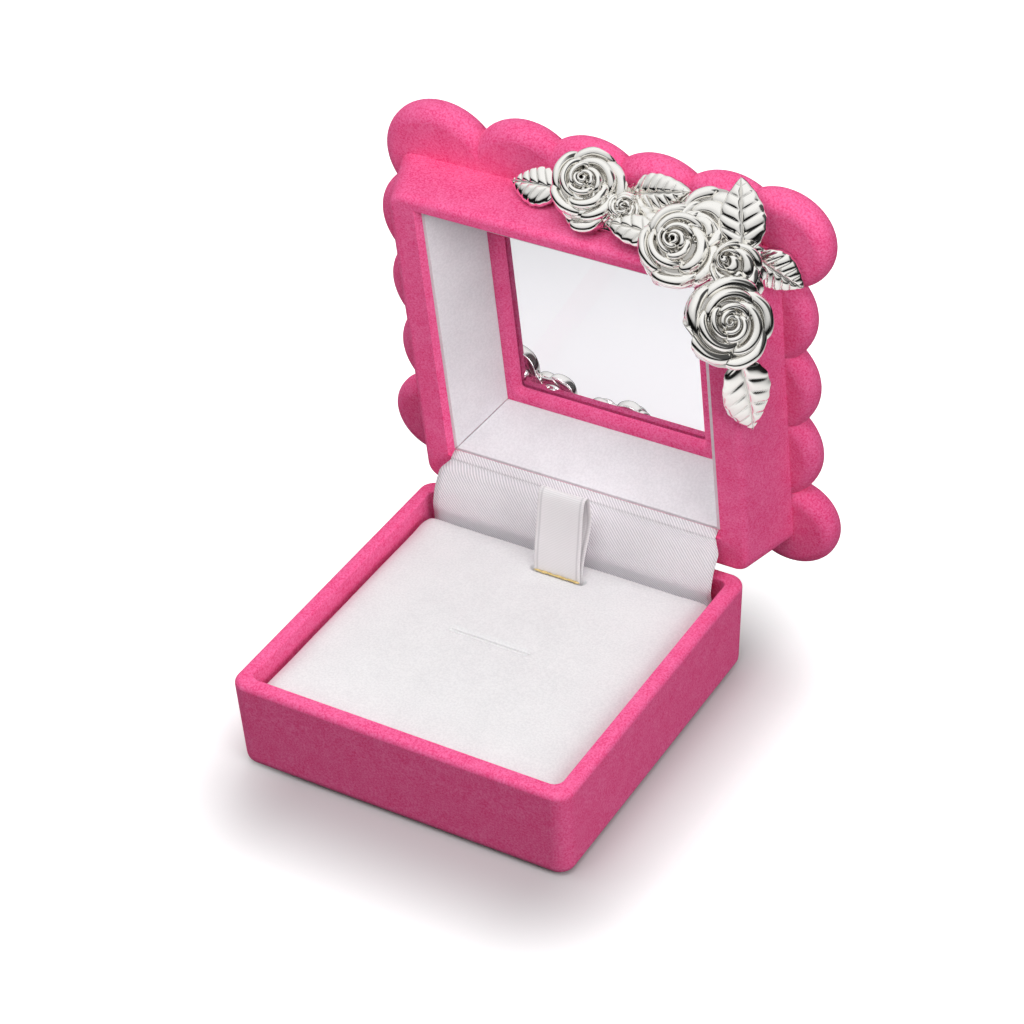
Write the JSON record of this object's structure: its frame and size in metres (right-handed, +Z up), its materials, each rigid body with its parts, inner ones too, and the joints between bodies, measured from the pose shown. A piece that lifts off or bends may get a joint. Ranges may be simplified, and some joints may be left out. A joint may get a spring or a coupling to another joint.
{
  "type": "jewelry presentation box",
  "caption": "Hinged jewelry presentation box, shown open: flocked tray with a slit velvet pad and ribbon pull, window lid with a scalloped plate and cast rose sprays.",
  "frame": {"origin": "centre of the base's flat underside", "axes": "+X to the right of someone facing the open box, +Y to the hinge, +Z up; stored with the lid open as in the picture"},
  "size_m": [0.0976, 0.0897, 0.105],
  "materials": {
    "flocked_plastic": "pink flocking",
    "white_velvet": "short pile velvet",
    "white_satin": "satin weave",
    "foam": "open cell foam",
    "board": "plain",
    "lining_card": "satin covered",
    "glue": "dried glue",
    "pane_glass": "clear",
    "steel": "plain",
    "plated_metal": "silver plated casting"
  },
  "bodies": {
    "base": {"base_shell": "flocked_plastic", "pad_board": "board", "pad_foam": "foam", "pad_cover": "white_velvet", "ribbon_loop": "white_satin", "ribbon_glue_bead": "glue", "hinge_base_leaf": "steel", "hinge_pin": "steel", "hinge_base_rivets": "steel", "satin_hinge_strip": "white_satin"},
    "lid": {"lid_frame": "flocked_plastic", "scallop_plate": "flocked_plastic", "window_bezel": "flocked_plastic", "window_pane": "pane_glass", "liner_left": "lining_card", "liner_right": "lining_card", "liner_front": "lining_card", "liner_rear": "lining_card", "hinge_lid_leaf": "steel", "hinge_lid_rivets": "steel", "rose_spray_front": "plated_metal", "rose_spray_rear": "plated_metal", "spray_push_nuts": "steel"}
  },
  "joints": [
    {"name": "lid_hinge", "type": "hinge", "parent": "base", "child": "lid", "pos_m": [0, 0.035, 0.0195], "axis": [1, 0, 0], "range_deg": [0, 83.7], "deforming": ["ribbon_loop", "satin_hinge_strip"]}
  ]
}
